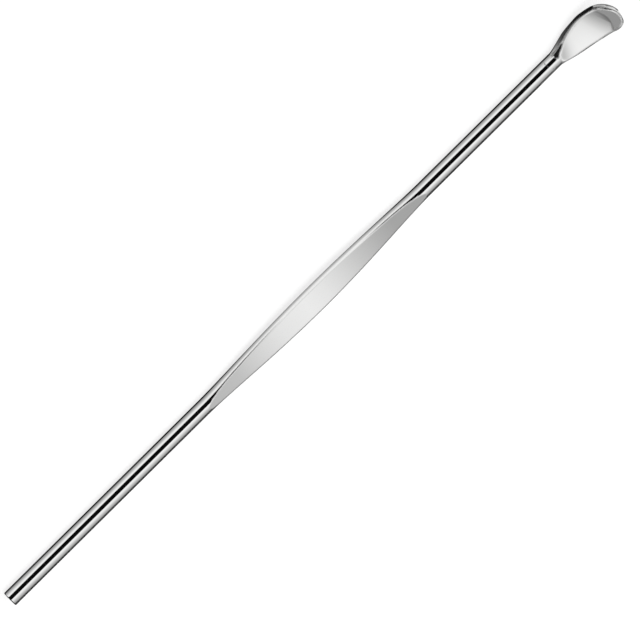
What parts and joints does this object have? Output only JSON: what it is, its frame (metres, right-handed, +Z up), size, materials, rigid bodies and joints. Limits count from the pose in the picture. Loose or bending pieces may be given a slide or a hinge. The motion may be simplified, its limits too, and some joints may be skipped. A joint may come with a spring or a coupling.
{
  "type": "ear pick",
  "caption": "Slim steel ear pick: a straight round wire handle with a flat finger grip pressed into it and a shallow oval scoop, turned up at the tip, forged from its end.",
  "frame": {"origin": "middle of the pick's footprint, on the table it lies on", "axes": "+X along the wire from the butt to the scoop's tip, +Z up, the way the scoop opens"},
  "size_m": [0.08, 0.0038, 0.003],
  "materials": {
    "polished_steel": "mirror polished"
  },
  "bodies": {
    "root": {"ear_pick": "polished_steel"}
  },
  "joints": []
}
